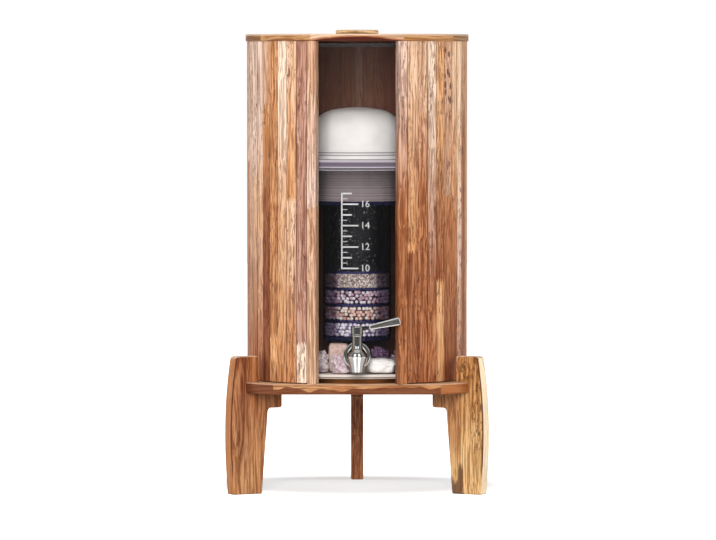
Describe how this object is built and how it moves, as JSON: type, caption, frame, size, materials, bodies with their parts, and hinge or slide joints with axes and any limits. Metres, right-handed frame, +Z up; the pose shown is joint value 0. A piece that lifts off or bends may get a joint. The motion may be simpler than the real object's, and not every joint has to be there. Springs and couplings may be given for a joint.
{
  "type": "gravity water filter with tap",
  "caption": "Free-standing gravity water filter: round wooden stave casing with a front window on a three-legged stand, with a layered cartridge, glass tank and lever tap.",
  "frame": {"origin": "on the floor, at the middle of the filter's bounding box; the axis of the casing and tank stands a little in front of it, at y = -0.0205 m", "axes": "+Z up; the window and tap face -Y; +X is to the right of someone who faces the tap"},
  "size_m": [0.4092, 0.4221, 0.72],
  "materials": {
    "warm_wood": "oiled, satin",
    "ply": "plain",
    "tank_glass": "clear, polished",
    "clear_plastic": "clear, polished",
    "dome_ceramic": "fine matt",
    "white_plastic": "satin",
    "blue_plastic": "glossy",
    "black_plastic": "glossy",
    "silicone": "matt",
    "carbon": "sparkling grains",
    "granules": "matt grains",
    "ceramic_balls": "matt",
    "rose_quartz": "cloudy, polished",
    "amethyst": "crystal faces",
    "white_quartz": "cloudy",
    "tap_chrome": "polished",
    "brushed_lever": "brushed, bright edge",
    "screw_steel": "plain"
  },
  "bodies": {
    "filter": {"stand_board": "warm_wood", "leg_left": "warm_wood", "leg_right": "warm_wood", "leg_rear": "warm_wood", "leg_screws": "screw_steel", "casing_screws": "screw_steel", "staves_left": "warm_wood", "staves_rear": "warm_wood", "staves_right": "warm_wood", "post_left": "warm_wood", "post_right": "warm_wood", "top_hoop": "ply", "bottom_hoop": "ply", "base_disc": "warm_wood", "lower_tank": "tank_glass", "upper_vessel": "clear_plastic", "ceramic_dome": "dome_ceramic", "dome_base": "white_plastic", "dome_seal": "silicone", "dome_nut": "white_plastic", "cartridge_head": "clear_plastic", "cartridge_ring": "blue_plastic", "cartridge_shell": "clear_plastic", "cartridge_base": "blue_plastic", "cartridge_separators": "blue_plastic", "ball_bed_lower": "ceramic_balls", "ball_bed_middle": "ceramic_balls", "ball_bed_upper": "ceramic_balls", "granule_bed": "granules", "carbon_bed": "carbon", "rose_quartz": "rose_quartz", "amethysts": "amethyst", "white_quartz": "white_quartz", "tap_body": "tap_chrome", "tap_flange": "tap_chrome", "outer_washer": "silicone", "inner_washer": "silicone", "tap_nut": "tap_chrome", "bonnet_ring": "tap_chrome"},
    "lid": {"lid_board": "warm_wood", "lid_knob": "warm_wood", "knob_screw": "screw_steel", "lid_cleats": "warm_wood"},
    "tap_lever": {"valve_core": "tap_chrome", "valve_o_rings": "silicone", "lever_hub": "tap_chrome", "hub_screw": "screw_steel", "lever_neck": "black_plastic", "lever_blade": "brushed_lever"}
  },
  "joints": [
    {"name": "lid_lift", "type": "slide", "parent": "filter", "child": "lid", "axis": [0, 0, 1], "range_m": [0, 0.12]},
    {"name": "tap_turn", "type": "hinge", "parent": "filter", "child": "tap_lever", "pos_m": [0, -0.19545, 0.25855], "axis": [0, 0, 1], "range_deg": [-90, 0]}
  ]
}
